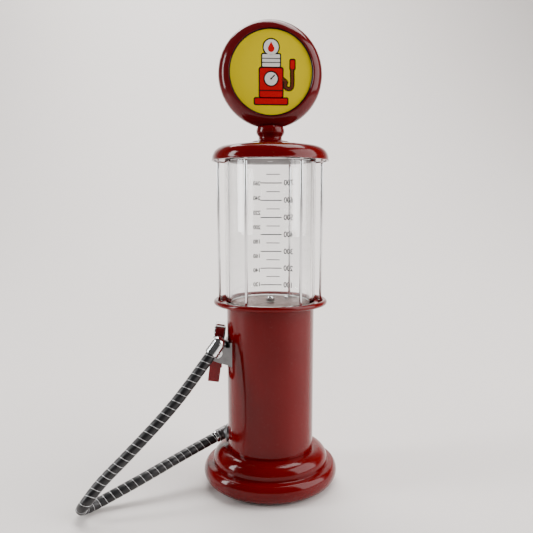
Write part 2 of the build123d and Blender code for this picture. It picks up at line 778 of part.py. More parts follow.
swivel = Vector(*hose_route[-1])
last_run = (swivel - Vector(*hose_route[-2])).normalized()
ball_r = 6.6
ball_centre = spot(-inlet_end - ball_r + 0.9, inlet_w)
ferrule_bands = (1.5, 4.5)  # two raised bands, this far from the ferrule's mouth
band_rise, band_w = 0.5, 1.2
with BuildPart() as hose_socket:
    with Locations(ball_centre):
        Sphere(ball_r)
    with BuildSketch(Plane(origin=swivel - last_run * ferrule_grip, z_dir=last_run)):
        Circle(ferrule_r)
    extrude(amount=ferrule_grip + 4.0)
    for step in ferrule_bands:
        with BuildSketch(Plane(origin=swivel - last_run * (ferrule_grip - step),
                               z_dir=last_run)):
            Circle(ferrule_r + band_rise)
        extrude(amount=band_w)
    with BuildSketch(Plane(origin=swivel - last_run * ferrule_grip, z_dir=last_run)):
        Circle(hose_d / 2 + stem_gap)
    extrude(amount=ferrule_grip, mode=Mode.SUBTRACT)
    with BuildSketch(across(-inlet_end, inlet_w)):
        Circle(2 * ball_r)
    extrude(amount=inlet_end, mode=Mode.SUBTRACT)
keep("hose_socket", hose_socket)

spout_r, spout_bore_r, spout_bore_len, spout_bend_r = 4.2, 3.2, 12.0, 8.0
with BuildPart() as spout:
    with BuildLine():
        bend = FilletPolyline(spot(casing_u, 15, 0.6), spot(27, 13.5, 1.4), spot(29.5, -25, 4.6),
                              radius=spout_bend_r)
    with BuildSketch(Plane(origin=bend @ 0, z_dir=bend % 0)):
        Circle(spout_r)
    sweep()
    with BuildSketch(Plane(origin=bend @ 1, z_dir=-(bend % 1))):
        Circle(spout_bore_r)
    extrude(amount=spout_bore_len, mode=Mode.SUBTRACT)
    with BuildSketch(across(0, 15)):
        Rectangle(8 * spout_r, 8 * spout_r)
    extrude(amount=casing_u, mode=Mode.SUBTRACT)
keep("spout", spout)

guard_back, guard_front = 16.0, -15.0
guard_round, guard_edge = 5.0, 0.9
ear_v, ear_half_t, ear_r = 4.4, 0.8, 2.6
ear_top = casing_bottom - guard_t + fit
with BuildPart() as trigger_guard:
    with BuildSketch(nozzle_frame) as loop:
        with BuildLine():
            Polyline((guard_front, casing_bottom), (guard_front, guard_bottom),
                     (guard_back - 4, guard_bottom), (guard_back, casing_bottom),
                     (guard_front, casing_bottom))
        make_face()
        fillet(loop.vertices().group_by(Axis.Y)[0], guard_round)
        offset(amount=-guard_t, kind=Kind.ARC, mode=Mode.SUBTRACT)
    extrude(amount=nozzle_half, both=True)
    for end in (-1, 0):
        fillet(trigger_guard.faces().sort_by(side_axis)[end].edges(), guard_edge)
    for side in (1, -1):
        with BuildSketch(nozzle_frame.offset(side * ear_v)):
            with Locations((pivot_u, pivot_w)):
                Circle(ear_r)
            with Locations((pivot_u, ear_top)):
                Rectangle(2 * ear_r, ear_top - pivot_w, align=(Align.CENTER, Align.MAX))
        extrude(amount=ear_half_t, both=True)
    with BuildSketch(nozzle_frame):
        with Locations((pivot_u, pivot_w)):
            Circle(pin_r + seat_gap)
    extrude(amount=nozzle_half, both=True, mode=Mode.SUBTRACT)
    with BuildSketch(Plane(origin=spot(stem_u, casing_bottom - 5), z_dir=up_nozzle)):
        Circle(stem_r + stem_gap)
    extrude(amount=10, mode=Mode.SUBTRACT)
keep("trigger_guard", trigger_guard)

with BuildPart() as trigger_pin:
    with BuildSketch(nozzle_frame):
        with Locations((pivot_u, pivot_w)):
            Circle(pin_r)
    extrude(amount=ear_v + ear_half_t, both=True)
keep("trigger_pin", trigger_pin)

lever_len = sqrt((pivot_u - lever_tip_u) ** 2 + (pivot_w - lever_tip_w) ** 2)
lever_slope = degrees(atan((pivot_w - lever_tip_w) / (pivot_u - lever_tip_u)))
with BuildPart() as trigger:
    with BuildSketch(nozzle_frame):
        with Locations(((pivot_u + lever_tip_u) / 2, (pivot_w + lever_tip_w) / 2)):
            SlotCenterToCenter(lever_len, lever_t, rotation=lever_slope)
        with Locations((pivot_u, pivot_w)):
            Circle(pin_r + lever_eye)
            Circle(pin_r + running, mode=Mode.SUBTRACT)
    extrude(amount=lever_half_w, both=True)
keep("trigger", trigger)

with BuildPart() as valve_stem:
    with BuildSketch(Plane(origin=spot(stem_u, stem_low), z_dir=up_nozzle)):
        Circle(stem_r)
    extrude(amount=collar_low - stem_low)
    with BuildSketch(Plane(origin=spot(stem_u, collar_low), z_dir=up_nozzle)):
        Circle(spring_r + spring_wire_r)
    extrude(amount=collar_t)
keep("valve_stem", valve_stem)

spring_low = collar_low + collar_t + spring_wire_r
spring_len = chamber_top - spring_low - spring_wire_r - 2 * running
spring_foot = spot(stem_u, spring_low)
with BuildPart() as valve_spring:
    with BuildLine():
        coil = Helix(pitch=spring_len / spring_turns, height=spring_len, radius=spring_r,
                     center=spring_foot, direction=up_nozzle)
    with BuildSketch(Plane(origin=coil @ 0, z_dir=coil % 0)):
        Circle(spring_wire_r)
    sweep(is_frenet=True)
keep("valve_spring", valve_spring)

# ---------------------------------------------------------------- hose
corners = [Vector(*point) for point in hose_route]
bend_share = 0.45           # share of the shorter run that each bend takes
radii = []
for before, here, after in zip(corners, corners[1:], corners[2:]):
    run_in, run_out = here - before, after - here
    half_turn = radians(run_in.get_angle(run_out) / 2)
    radii.append(bend_share * min(run_in.length, run_out.length) / tan(half_turn))
with BuildPart() as hose:
    with BuildLine():
        hose_line = FilletPolyline(*corners, radius=radii)
    with BuildSketch(Plane(origin=hose_line @ 0, z_dir=hose_line % 0)):
        Circle(hose_d / 2)
    sweep()
keep("hose", hose)
hose_length = hose_line.length
section_area = pi * (hose_d / 2) ** 2
print("hose radii", [round(r, 1) for r in radii])
print("hose length", round(hose_length, 1),
      "volume over section times length", round(hose.part.volume / section_area / hose_length, 4))

# ---------------------------------------------------------------- holster
slot_centre = spot(0, barrel_w)
slope_angle = radians(holster_slope)
way_out = Vector(-cos(slope_angle), 0, sin(slope_angle))
way_up = Vector(sin(slope_angle), 0, cos(slope_angle))
slot_r = barrel_r + slot_gap
arm_r = slot_r + 3.4        # half the height of an arm's end
holster_nut_af, holster_nut_h, holster_nut_gap = 5.5, 2.6, 0.6
holster_head_h = 0.9
screw_tail = 6.0            # length of a screw inside the column


def fork_point(out, up):
    """A point of the fork's side view, from the slot's centre."""
    place = slot_centre + way_out * out + way_up * up
    return (place.X, place.Z)


with BuildPart() as holster_bracket:
    with BuildSketch(Plane.XY.offset(holster_low)):
        Circle(column_r + holster_wall)
        Circle(column_r + seat_gap, mode=Mode.SUBTRACT)
        with Locations((-column_r, 0)):
            Rectangle(30, 2 * arm_y + arm_t, mode=Mode.INTERSECT)
    extrude(amount=holster_high - holster_low)
    for side in (1, -1):
        side_plane = Plane(origin=(0, side * arm_y + arm_t / 2, 0), x_dir=(1, 0, 0),
                           z_dir=(0, -1, 0))
        with BuildSketch(side_plane):
            Polygon((-40, holster_low), fork_point(-4, -arm_r), fork_point(9, -arm_r),
                    fork_point(9, -slot_r + 1.5), fork_point(-3, slot_r + 0.6), (-40, arm_top),
                    align=None)
            with Locations(fork_point(0, 0)):
                Circle(slot_r, mode=Mode.SUBTRACT)
            Polygon(fork_point(0, -slot_r), fork_point(20, -slot_r), fork_point(20, slot_r),
                    fork_point(0, slot_r), align=None, mode=Mode.SUBTRACT)
        extrude(amount=arm_t)
    with BuildSketch(Plane.XY.offset(holster_low)):
        Circle(column_r + seat_gap)
    extrude(amount=holster_high - holster_low, mode=Mode.SUBTRACT)
    for height in holster_screw_z:
        with BuildSketch(holster_plane(column_r - 3, height)):
            Circle(holster_screw_r + thread)
        extrude(amount=10, mode=Mode.SUBTRACT)
keep("holster_bracket", holster_bracket)

with BuildPart() as holster_screws:
    for height in holster_screw_z:
        with BuildSketch(holster_plane(column_bore - screw_tail, height)):
            Circle(holster_screw_r)
        extrude(amount=column_wall + holster_wall + screw_tail)
        with BuildSketch(holster_plane(column_r + holster_wall, height)):
            Circle(screw_head_r)
        extrude(amount=holster_head_h)
keep("holster_screws", holster_screws)

with BuildPart() as holster_nuts:
    for height in holster_screw_z:
        nut_at = column_bore - holster_nut_gap - holster_nut_h
        with BuildSketch(holster_plane(nut_at, height)):
            RegularPolygon(holster_nut_af / 2, 6, major_radius=False)
            Circle(holster_screw_r + thread, mode=Mode.SUBTRACT)
        extrude(amount=holster_nut_h)
keep("holster_nuts", holster_nuts)

for name, piece in pieces.items():
    export_step(piece, f"parts/{name}.step")
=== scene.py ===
"""Looks of the table-top drinks dispenser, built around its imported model.

Metres; +Z is up and the sign faces -Y. Outlines of turned pieces are in millimetres.
"""

import math

import bpy
from mathutils import Matrix, Vector


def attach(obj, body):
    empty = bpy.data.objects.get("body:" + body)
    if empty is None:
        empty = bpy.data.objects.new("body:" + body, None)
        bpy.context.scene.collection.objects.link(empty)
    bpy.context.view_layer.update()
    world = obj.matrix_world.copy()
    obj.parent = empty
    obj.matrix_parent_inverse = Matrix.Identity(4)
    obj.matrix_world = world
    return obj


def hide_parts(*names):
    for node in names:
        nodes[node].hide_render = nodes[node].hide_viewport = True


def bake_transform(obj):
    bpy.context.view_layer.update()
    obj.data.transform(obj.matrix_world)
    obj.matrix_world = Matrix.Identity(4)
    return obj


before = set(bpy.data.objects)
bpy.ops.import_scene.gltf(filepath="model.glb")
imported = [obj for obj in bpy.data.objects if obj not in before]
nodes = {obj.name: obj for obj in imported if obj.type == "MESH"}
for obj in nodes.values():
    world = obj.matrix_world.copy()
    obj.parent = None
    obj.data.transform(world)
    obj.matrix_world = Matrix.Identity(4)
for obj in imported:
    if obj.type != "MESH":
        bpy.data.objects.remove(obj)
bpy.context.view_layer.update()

# ---------------------------------------------------------------- camera
# A short telephoto a little left of the pump and above the tank, looking slightly down at it.
# The picture plane is raised, so that the upright column stays upright in the picture.
camera_data = bpy.data.cameras.new("camera")
camera_data.sensor_fit = "HORIZONTAL"
camera_data.sensor_width = 36.0
camera_data.lens = 40.53
camera_data.shift_x = -0.0071
camera_data.shift_y = 0.060
camera_data.clip_start = 0.01
camera = bpy.data.objects.new("camera", camera_data)
camera.location = (-0.0443, -0.6330, 0.3022)
camera.rotation_euler = (math.radians(90 - 8.86), 0, math.radians(-4))
bpy.context.scene.collection.objects.link(camera)
bpy.context.scene.camera = camera

# ---------------------------------------------------------------- hose
# A black rubber hose, 11.5 mm thick, with a flat silver wire wound round it in a shallow groove.
# It leaves the column low down, runs out over the table, folds back on itself and climbs to the
# nozzle. Its ends are pushed into ferrules.
hose_route = [
    (-0.0555, 0.0055, 0.0500), (-0.0715, -0.0005, 0.0435), (-0.1020, -0.0185, 0.0335),
    (-0.1390, -0.0410, 0.0205), (-0.1615, -0.0520, 0.0125), (-0.1785, -0.0595, 0.0062),
    (-0.1915, -0.0745, 0.0068), (-0.1845, -0.0875, 0.0185), (-0.1710, -0.0775, 0.0355),
    (-0.1460, -0.0715, 0.0590), (-0.1030, -0.0520, 0.1005), (-0.0770, -0.0395, 0.1325),
    (-0.0580, -0.0310, 0.1580),
]
route_curve = bpy.data.curves.new("hose_line", "CURVE")
route_curve.dimensions = "3D"
route_spline = route_curve.splines.new("NURBS")
route_spline.points.add(len(hose_route) - 1)
for point, place in zip(route_spline.points, hose_route):
    point.co = (*place, 1.0)
route_spline.order_u = 3
route_spline.use_endpoint_u = True
route_spline.resolution_u = 40
route_object = bpy.data.objects.new("hose_line", route_curve)
bpy.context.scene.collection.objects.link(route_object)
line_mesh = bpy.data.meshes.new_from_object(route_object)
line_points = [vertex.co.copy() for vertex in line_mesh.vertices]
bpy.data.objects.remove(route_object)
bpy.data.meshes.remove(line_mesh)


def even_steps(points, step):
    """Points at even steps along a line, each with its direction and how far along it lies."""
    stations, travelled, due = [], 0.0, 0.0
    for before, after in zip(points, points[1:]):
        run = after - before
        while due <= travelled + run.length:
            stations.append((before + run * ((due - travelled) / run.length), due))
            due += step
        travelled += run.length
    places = [place for place, _ in stations]
    ahead = [b - a for a, b in zip(places, places[1:])]
    ways = [(a + b).normalized() for a, b in zip([ahead[0]] + ahead, ahead + [ahead[-1]])]
    return [(place, way, far) for (place, far), way in zip(stations, ways)], travelled


def carried_frames(stations):
    """A side and an up direction at each station, carried along so that they don't twist."""
    side = Vector((0, 0, 1)).cross(stations[0][1]).normalized()
    frames = []
    for _, way, _ in stations:
        side = (side - way * side.dot(way)).normalized()
        frames.append((side, way.cross(side)))
    return frames


def skin_of_rings(name, rings, closed_ends=True):
    """A mesh through rings of points, each ring with the same number of points."""
    count = len(rings[0])
    points = [place for ring in rings for place in ring]
    faces = []
    for row in range(len(rings) - 1):
        for col in range(count):
            nxt = (col + 1) % count
            faces.append((row * count + col, row * count + nxt,
                          (row + 1) * count + nxt, (row + 1) * count + col))
    if closed_ends:
        faces.append(tuple(range(count))[::-1])
        last = (len(rings) - 1) * count
        faces.append(tuple(range(last, last + count)))
    mesh = bpy.data.meshes.new(name)
    mesh.from_pydata([tuple(place) for place in points], [], faces)
    mesh.shade_smooth()
    made = bpy.data.objects.new(name, mesh)
    bpy.context.scene.collection.objects.link(made)
    return made


WIRE_PITCH = 0.0080
GROOVE_R, SWELL = 0.00528, 0.00034      # rubber's radius under the wire, and its rise between turns
WIRE_AT, WIRE_HALF_W, WIRE_HALF_T = 0.00545, 0.00032, 0.00028
WIRE_SIDES = 6


def wire_turns(far):
    """How many turns the wire has made this far along the hose; the winding is a little uneven."""
    return far / WIRE_PITCH + 0.10 * math.sin(far / 0.031) + 0.05 * math.sin(far / 0.0117 + 1)


hose_stations, hose_real_length = even_steps(line_points, 0.0008)
hose_frames = carried_frames(hose_stations)
HOSE_SIDES = 32
hose_rings = []
for (place, way, far), (side, up) in zip(hose_stations, hose_frames):
    ring = []
    for col in range(HOSE_SIDES):
        angle = 2 * math.pi * col / HOSE_SIDES
        from_wire = math.sin(math.pi * (wire_turns(far) - col / HOSE_SIDES)) ** 2
        radius = GROOVE_R + SWELL * from_wire**0.35
        ring.append(place + (side * math.cos(angle) + up * math.sin(angle)) * radius)
    hose_rings.append(ring)
hose = skin_of_rings("hose_rubber", hose_rings)

wire_stations, _ = even_steps(line_points, 0.00022)
wire_frames = carried_frames(wire_stations)
wire_line = []
for (place, way, far), (side, up) in zip(wire_stations, wire_frames):
    if 0.004 < far < hose_real_length - 0.003:
        angle = 2 * math.pi * wire_turns(far)
        out = side * math.cos(angle) + up * math.sin(angle)
        wire_line.append((place + out * WIRE_AT, out))
wire_rings = []
for number, (place, out) in enumerate(wire_line):
    before = wire_line[max(number - 1, 0)][0]
    after = wire_line[min(number + 1, len(wire_line) - 1)][0]
    run = (after - before).normalized()
    flat = run.cross(out).normalized()
    turns = [2 * math.pi * i / WIRE_SIDES for i in range(WIRE_SIDES)]
    wire_rings.append([place + flat * (WIRE_HALF_W * math.cos(turn))
                       + out * (WIRE_HALF_T * math.sin(turn)) for turn in turns])
hose_wire = skin_of_rings("hose_wire", wire_rings)
for piece in (hose, hose_wire):
    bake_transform(piece)
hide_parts("hose")


class Finish:
    """A material under construction, or one of its sockets, on which arithmetic adds Math nodes."""

    def __init__(self, tree, socket=None):
        self.tree, self.socket = tree, socket

    def node(self, kind, settings=None, sockets=None, out=0):
        made = self.tree.nodes.new("ShaderNode" + kind)
        for key, value in (settings or {}).items():
            if key == "stops":
                ramp = made.color_ramp.elements
                while len(ramp) < len(value):
                    ramp.new(1.0)
                for stop, (place, colour) in zip(ramp, value):
                    stop.position, stop.color = place, (*colour, 1.0)
            else:
                setattr(made, key, value)
        for key, value in (sockets or {}).items():
            if isinstance(value, Finish):
                self.tree.links.new(value.socket, made.inputs[key])
            else:
                made.inputs[key].default_value = value
        return Finish(self.tree, made.outputs[out]) if made.outputs else made

    def maths(self, operation, *values, clamp=False):
        return self.node("Math", {"operation": operation, "use_clamp": clamp},
                         dict(enumerate(values)))

    def __add__(self, other):
        return self.maths("ADD", self, other)

    __radd__ = __add__

    def __mul__(self, other):
        return self.maths("MULTIPLY", self, other)

    __rmul__ = __mul__

    def __sub__(self, other):
        return self.maths("SUBTRACT", self, other)

    def __rsub__(self, other):
        return self.maths("SUBTRACT", other, self)

    def noise(self, where, scale, detail=2.0, rough=0.5):
        return self.node("TexNoise", None, {"Vector": where, "Scale": scale, "Detail": detail,
                                            "Roughness": rough})

    def between(self, value, low, high, to_low=0.0, to_high=1.0):
        return self.node("MapRange", {"interpolation_type": "SMOOTHSTEP"},
                         {"Value": value, "From Min": low, "From Max": high,
                          "To Min": to_low, "To Max": to_high})

    def mixed(self, amount, one, other):
        return self.node("Mix", {"data_type": "RGBA"}, {"Factor": amount, "A": one, "B": other},
                         out=2)

    def mixed_with(self, amount, colour):
        return self.mixed(amount, self, (*colour, 1.0))


def rgba(colour):
    return (*colour, 1.0)


def new_finish(name, fixed):
    """A material with one Principled shader, and the values that are the same all over it."""
    material = bpy.data.materials.new(name)
    material.use_nodes = True
    tree = material.node_tree
    shader = tree.nodes["Principled BSDF"]
    for key, value in fixed.items():
        shader.inputs[key].default_value = value
    start = Finish(tree)
    where = start.node("TexCoord", out=3)
    return material, start, shader, where


def put(shader, tree, key, value):
    tree.links.new(value.socket, shader.inputs[key])


def stretched(start, where, scales):
    return start.node("Mapping", None, {"Vector": where, "Scale": scales})


def bumped(start, height, distance, strength=1.0):
    return start.node("Bump", None, {"Height": height, "Distance": distance,
                                     "Strength": strength})


def dressed(piece, material):
    piece.data.materials.clear()
    piece.data.materials.append(material)


def rubber(name, dark, light, rough, grain):
    """Rubber: faint mottling, a fine matt grain, and dust that dulls it in patches."""
    material, start, shader, where = new_finish(name, {"Specular IOR Level": 0.45})
    patches = start.noise(where, 60.0, 4.0)
    dust = start.between(start.noise(where, 420.0, 3.0, 0.7), 0.52, 0.72)
    put(shader, start.tree, "Base Color",
        start.mixed(patches * 0.6 + dust * 0.25, rgba(dark), rgba(light)))
    put(shader, start.tree, "Roughness", patches * 0.16 + dust * 0.12 + rough)
    put(shader, start.tree, "Normal", bumped(start, start.noise(where, grain, 2.0), 0.00012))
    return material


hose_rubber = rubber("hose_rubber", (0.004, 0.004, 0.005), (0.016, 0.016, 0.018), 0.26, 1800.0)
dressed(hose, hose_rubber)


def bare_metal(name, colour, rough, smear, scratches=(700.0, 700.0, 60.0), tarnish=0.25,
               dull=(0.3, 0.3, 0.3)):
    """Bare or plated metal: long fine scratches, smears in the polish and a little tarnish."""
    material, start, shader, where = new_finish(name, {"Metallic": 1.0})
    lines = start.noise(stretched(start, where, scratches), 1.0, 3.0, 0.6)
    smears = start.noise(where, 45.0, 3.0)
    stain = start.between(start.noise(where, 130.0, 5.0, 0.65), 0.48, 0.75)
    put(shader, start.tree, "Base Color",
        start.mixed(stain * tarnish, rgba(colour), rgba([c * d for c, d in zip(colour, dull)])))
    put(shader, start.tree, "Roughness",
        lines * smear + smears * smear + stain * (0.5 * smear) + (rough - 0.5 * smear))
    put(shader, start.tree, "Normal", bumped(start, lines, 0.00002, 0.5))
    return material


silver_wire = bare_metal("silver_wire", (0.50, 0.51, 0.52), 0.30, 0.12)
dressed(hose_wire, silver_wire)

# ---------------------------------------------------------------- foot and base
# A cast ring of two round tiers, enamelled deep red, over a steel plate with an iron weight on it.
# Three screws from below hold it, and a flat rubber ring keeps it off the table.
MM = 0.001


def alone():
    """Leaves edit mode and deselects everything, so that the next operator acts on one piece."""
    if bpy.context.object and bpy.context.object.mode != "OBJECT":
        bpy.ops.object.mode_set(mode="OBJECT")
    bpy.ops.object.select_all(action="DESELECT")


def settled(piece, angle=35.0):
    """Puts a finished piece's place into its mesh and gives it smooth faces with crisp edges."""
    alone()
    piece.select_set(True)
    bpy.context.view_layer.objects.active = piece
    bpy.ops.object.transform_apply(location=True, rotation=True, scale=True)
    bpy.ops.object.shade_smooth_by_angle(angle=math.radians(angle))
    return piece


def arc(centre_r, centre_z, radius, start, end, count):
    """Points along an arc of an outline, from one angle to another in degrees."""
    angles = [math.radians(start + (end - start) * i / count) for i in range(count + 1)]
    return [(centre_r + radius * math.cos(a), centre_z + radius * math.sin(a)) for a in angles]


def turned(name, outline, steps=128, angle=35.0):
    """A piece turned on a lathe: its closed outline, in millimetres, spun about the Z axis."""
    alone()
    bpy.ops.mesh.primitive_plane_add(size=0.001)
    piece = bpy.context.object
    piece.name = piece.data.name = name
    bpy.ops.object.mode_set(mode="EDIT")
    bpy.ops.mesh.select_mode(type="VERT")
    bpy.ops.mesh.select_all(action="SELECT")
    bpy.ops.mesh.merge(type="CENTER")
    places = [Vector((r * MM, 0, z * MM)) for r, z in outline]
    bpy.ops.transform.translate(value=places[0])
    for before, after in zip(places, places[1:]):
        bpy.ops.mesh.extrude_region_move(TRANSFORM_OT_translate={"value": after - before})
    if outline[0][0] > 0 or outline[-1][0] > 0:
        bpy.ops.object.mode_set(mode="OBJECT")
        for vertex in piece.data.vertices:
            vertex.select = vertex.index in (0, len(outline) - 1)
        bpy.ops.object.mode_set(mode="EDIT")
        bpy.ops.mesh.edge_face_add()
    bpy.ops.mesh.select_all(action="SELECT")
    bpy.ops.mesh.spin(steps=steps, angle=2 * math.pi, center=(0, 0, 0), axis=(0, 0, 1))
    bpy.ops.mesh.select_all(action="SELECT")
    bpy.ops.mesh.remove_doubles(threshold=1e-6)
    bpy.ops.mesh.normals_make_consistent(inside=False)
    bpy.ops.object.mode_set(mode="OBJECT")
    return settled(piece, angle)


def shown_as(piece, material, body, slot, *cad_nodes):
    """Gives a new piece its material and body, and lets it stand for its CAD nodes. The slot is not
    used.
    """
    dressed(piece, material)
    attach(piece, body)
    if cad_nodes:
        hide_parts(*cad_nodes)
    return piece


def enamel(name, colour, deep, rough=0.10):
    """Baked gloss enamel: slightly uneven depth of colour, orange peel, dust specks and smears."""
    material, start, shader, where = new_finish(name, {"Coat Roughness": 0.04,
                                                       "Specular IOR Level": 0.14})
    depth = start.noise(where, 22.0, 3.0)
    smears = start.noise(stretched(start, where, (30.0, 30.0, 9.0)), 1.0, 4.0, 0.65)
    specks = start.between(start.noise(where, 1500.0, 1.0), 0.74, 0.80)
    put(shader, start.tree, "Base Color",
        start.mixed(depth, rgba(colour), rgba(deep)).mixed_with(specks * 0.25, (0.5, 0.3, 0.28)))
    put(shader, start.tree, "Roughness",
        start.between(smears, 0.35, 0.75, rough, rough + 0.10) + specks * 0.3)
    put(shader, start.tree, "Coat Weight", 0.16 - start.between(smears, 0.45, 0.85) * 0.05)
    peel = start.noise(where, 520.0, 1.0)
    put(shader, start.tree, "Normal", bumped(start, peel + specks * 0.4, 0.00003, 0.6))
    return material


red_enamel = enamel("red_enamel", (0.130, 0.0010, 0.0018), (0.095, 0.0007, 0.0012))

BASE_WALL = 3.0
LOWER_TIER, UPPER_TIER = (60.2, 14.0), (49.3, 26.4)     # centres of the two tiers' round edges
LOWER_ROUND, UPPER_ROUND = 13.0, 13.4
base_outline = (
    [(58.8, 1.0), (60.2, 1.0)]
    + arc(*LOWER_TIER, LOWER_ROUND, -90, 39, 22)
    + [(69.95, 22.5), (69.5, 22.85), (68.9, 23.0), (64.0, 23.0), (63.3, 23.2), (62.8, 23.7),
       (62.7, 24.5)]
    + arc(*UPPER_TIER, UPPER_ROUND, 0, 90, 18)
    + [(44.2, 39.8), (44.2, 43.8), (41.2, 43.8), (41.2, 36.8)]
    + arc(*UPPER_TIER, UPPER_ROUND - BASE_WALL, 90, 0, 10)
    + [(59.7, 20.0), (67.0, 20.0)]
    + arc(*LOWER_TIER, LOWER_ROUND - BASE_WALL, 30, -90, 12)
    + [(58.8, 4.0)]
)
shown_as(turned("base_tiers", base_outline, 160), red_enamel, "pump", "paint_red", "base_shell")

foot_outline = [(49.0, 0.2), (49.2, 0.0)]
GROOVE_STEP, GROOVE_DEEP = 1.5, 0.35
for groove in range(4):
    near = 50.4 + GROOVE_STEP * groove
    foot_outline += [(near, 0.0), (near + 0.2, GROOVE_DEEP), (near + 0.7, GROOVE_DEEP),
                     (near + 0.9, 0.0)]
foot_outline += [(56.8, 0.0), (57.0, 0.2), (57.0, 1.0), (49.0, 1.0)]
foot_rubber = rubber("foot_rubber", (0.010, 0.010, 0.010), (0.035, 0.034, 0.033), 0.6, 2400.0)
shown_as(turned("foot_pad", foot_outline), foot_rubber, "pump", "rubber", "foot_ring")

zinc = bare_metal("zinc", (0.56, 0.56, 0.57), 0.30, 0.16)
cast_iron = bare_metal("cast_iron", (0.10, 0.10, 0.10), 0.62, 0.20, (300.0, 300.0, 300.0), 0.5)
for name in ("base_plate", "base_screws"):
    dressed(nodes[name], zinc)
dressed(nodes["ballast_weight"], cast_iron)

# ---------------------------------------------------------------- column
# A steel tube with the same enamel, slipped over the collars of the base and of the tray.


def sleeve(bore, outer, low, high, inner_edge, outer_edge):
    """The outline of a tube with small chamfers at both ends."""
    return [(bore, low + inner_edge), (bore + inner_edge, low), (outer - outer_edge, low),
            (outer, low + outer_edge), (outer, high - outer_edge), (outer - outer_edge, high),
            (bore + inner_edge, high), (bore, high - inner_edge)]


COLUMN_TOP = 198.0
column_outline = sleeve(44.5, 46.5, 39.8, COLUMN_TOP, 0.2, 0.3)
shown_as(turned("column", column_outline, 160), red_enamel, "pump", "paint_red", "column_tube")

# ---------------------------------------------------------------- tray
# A flat flange with a round bead for its rim, and six low bosses that the rods screw into.
tray_outline = (
    [(3.8, COLUMN_TOP), (41.2, COLUMN_TOP), (41.2, 194.0), (44.2, 194.0), (44.2, COLUMN_TOP)]
    + arc(57.5, 200.8, 2.8, -90, 210, 30)
    + [(3.8, 199.4)]
)
shown_as(turned("tray", tray_outline, 160), red_enamel, "pump", "paint_red", "tray_flange")


def round_about(piece, count, first_degrees):
    """Joins copies of a piece, spread evenly about the column's axis, into one piece."""
    copies = []
    for number in range(count):
        copy = piece.copy()
        copy.data = piece.data.copy()
        turn = math.radians(first_degrees + 360.0 * number / count)
        copy.data.transform(Matrix.Rotation(turn, 4, "Z"))
        bpy.context.scene.collection.objects.link(copy)
        copies.append(copy)
    alone()
    for copy in copies:
        copy.select_set(True)
    bpy.context.view_layer.objects.active = copies[0]
    bpy.ops.object.join()
    joined = bpy.context.object
    joined.name = joined.data.name = piece.name + "_ring"
    bpy.data.objects.remove(piece)
    return joined


ROD_RING, ROD_COUNT, FIRST_ROD = 54.0, 6, -60
boss = turned("rod_boss", [(1.6, 199.2), (3.0, 199.2), (3.0, 201.2), (2.85, 201.6), (2.4, 201.8),
                           (1.6, 201.8)], 28)
boss.data.transform(Matrix.Translation((ROD_RING * MM, 0, 0)))
shown_as(round_about(boss, ROD_COUNT, FIRST_ROD), red_enamel, "pump", "paint_red")

floor_finish = bare_metal("floor_finish", (0.17, 0.105, 0.09), 0.34, 0.20, (260.0, 260.0, 260.0),
                          0.5, (0.5, 0.45, 0.42))
dressed(nodes["tank_floor"], floor_finish)


def silicone_finish(name):
    """Milky silicone rubber, a little cloudy."""
    material, start, shader, where = new_finish(name, {"Specular IOR Level": 0.4})
    cloud = start.noise(where, 150.0, 3.0)
    put(shader, start.tree, "Base Color",
        start.mixed(cloud, rgba((0.55, 0.54, 0.50)), rgba((0.70, 0.69, 0.66))))
    put(shader, start.tree, "Roughness", cloud * 0.2 + 0.35)
    put(shader, start.tree, "Normal", bumped(start, start.noise(where, 900.0), 0.00004))
    return material


milky = silicone_finish("milky_silicone")
for name in ("tank_gasket_lower", "drain_washer", "feed_tube"):
    dressed(nodes[name], milky)

# ---------------------------------------------------------------- drain in the tank's floor
# A plated hexagon fitting with a rounded lip and an open bore, and a small vent plug behind it.
chrome = bare_metal("chrome", (0.78, 0.79, 0.80), 0.10, 0.07)
brass = bare_metal("brass", (0.60, 0.42, 0.17), 0.28, 0.14)
for name in ("drain_fitting", "vent_screw"):
    dressed(nodes[name], chrome)
for name in ("drain_nut", "vent_nut", "outlet_elbow", "outlet_nut"):
    dressed(nodes[name], brass)
dressed(nodes["tube_clamps"], zinc)

# ---------------------------------------------------------------- tank
# A clear acrylic tube with a 5 mm wall and polished ends, between two soft gaskets.
TANK_BORE, TANK_R = 42.5, 47.5
TANK_LOW, TANK_HIGH = 201.2, 346.8


def clear_finish(name):
    """Clear acrylic: almost colourless, with faint wiping marks in its gloss."""
    material, start, shader, where = new_finish(
        name, {"Transmission Weight": 1.0, "IOR": 1.45, "Base Color": (0.985, 0.99, 0.99, 1.0)})
    wiped = start.noise(stretched(start, where, (30.0, 30.0, 6.0)), 1.0, 4.0, 0.7)
    put(shader, start.tree, "Roughness", start.between(wiped, 0.55, 0.85, 0.0, 0.05))
    put(shader, start.tree, "Normal", bumped(start, start.noise(where, 35.0, 1.0), 0.00003, 0.3))
    return material


tank_outline = sleeve(TANK_BORE, TANK_R, TANK_LOW, TANK_HIGH, 0.4, 0.4)
clear = clear_finish("clear_acrylic")
shown_as(turned("tank", tank_outline, 192), clear, "pump", "tank_glass", "tank_glass")

# ---------------------------------------------------------------- measuring scale
# A scale printed in black on the tank's rear. It reads from behind, so it is mirrored from the
# front: a small figure by each short line, and a large one by each long line.
SCALE_R = TANK_R + 0.03


def scale_ink(name):
    """Screen-printed ink, a little thin in places."""
    material, start, shader, where = new_finish(name, {})
    thin = start.noise(where, 900.0, 3.0)
    put(shader, start.tree, "Base Color",
        start.mixed(thin, rgba((0.001, 0.001, 0.001)), rgba((0.004, 0.004, 0.004))))
    put(shader, start.tree, "Roughness", thin * 0.3 + 0.5)
    return material


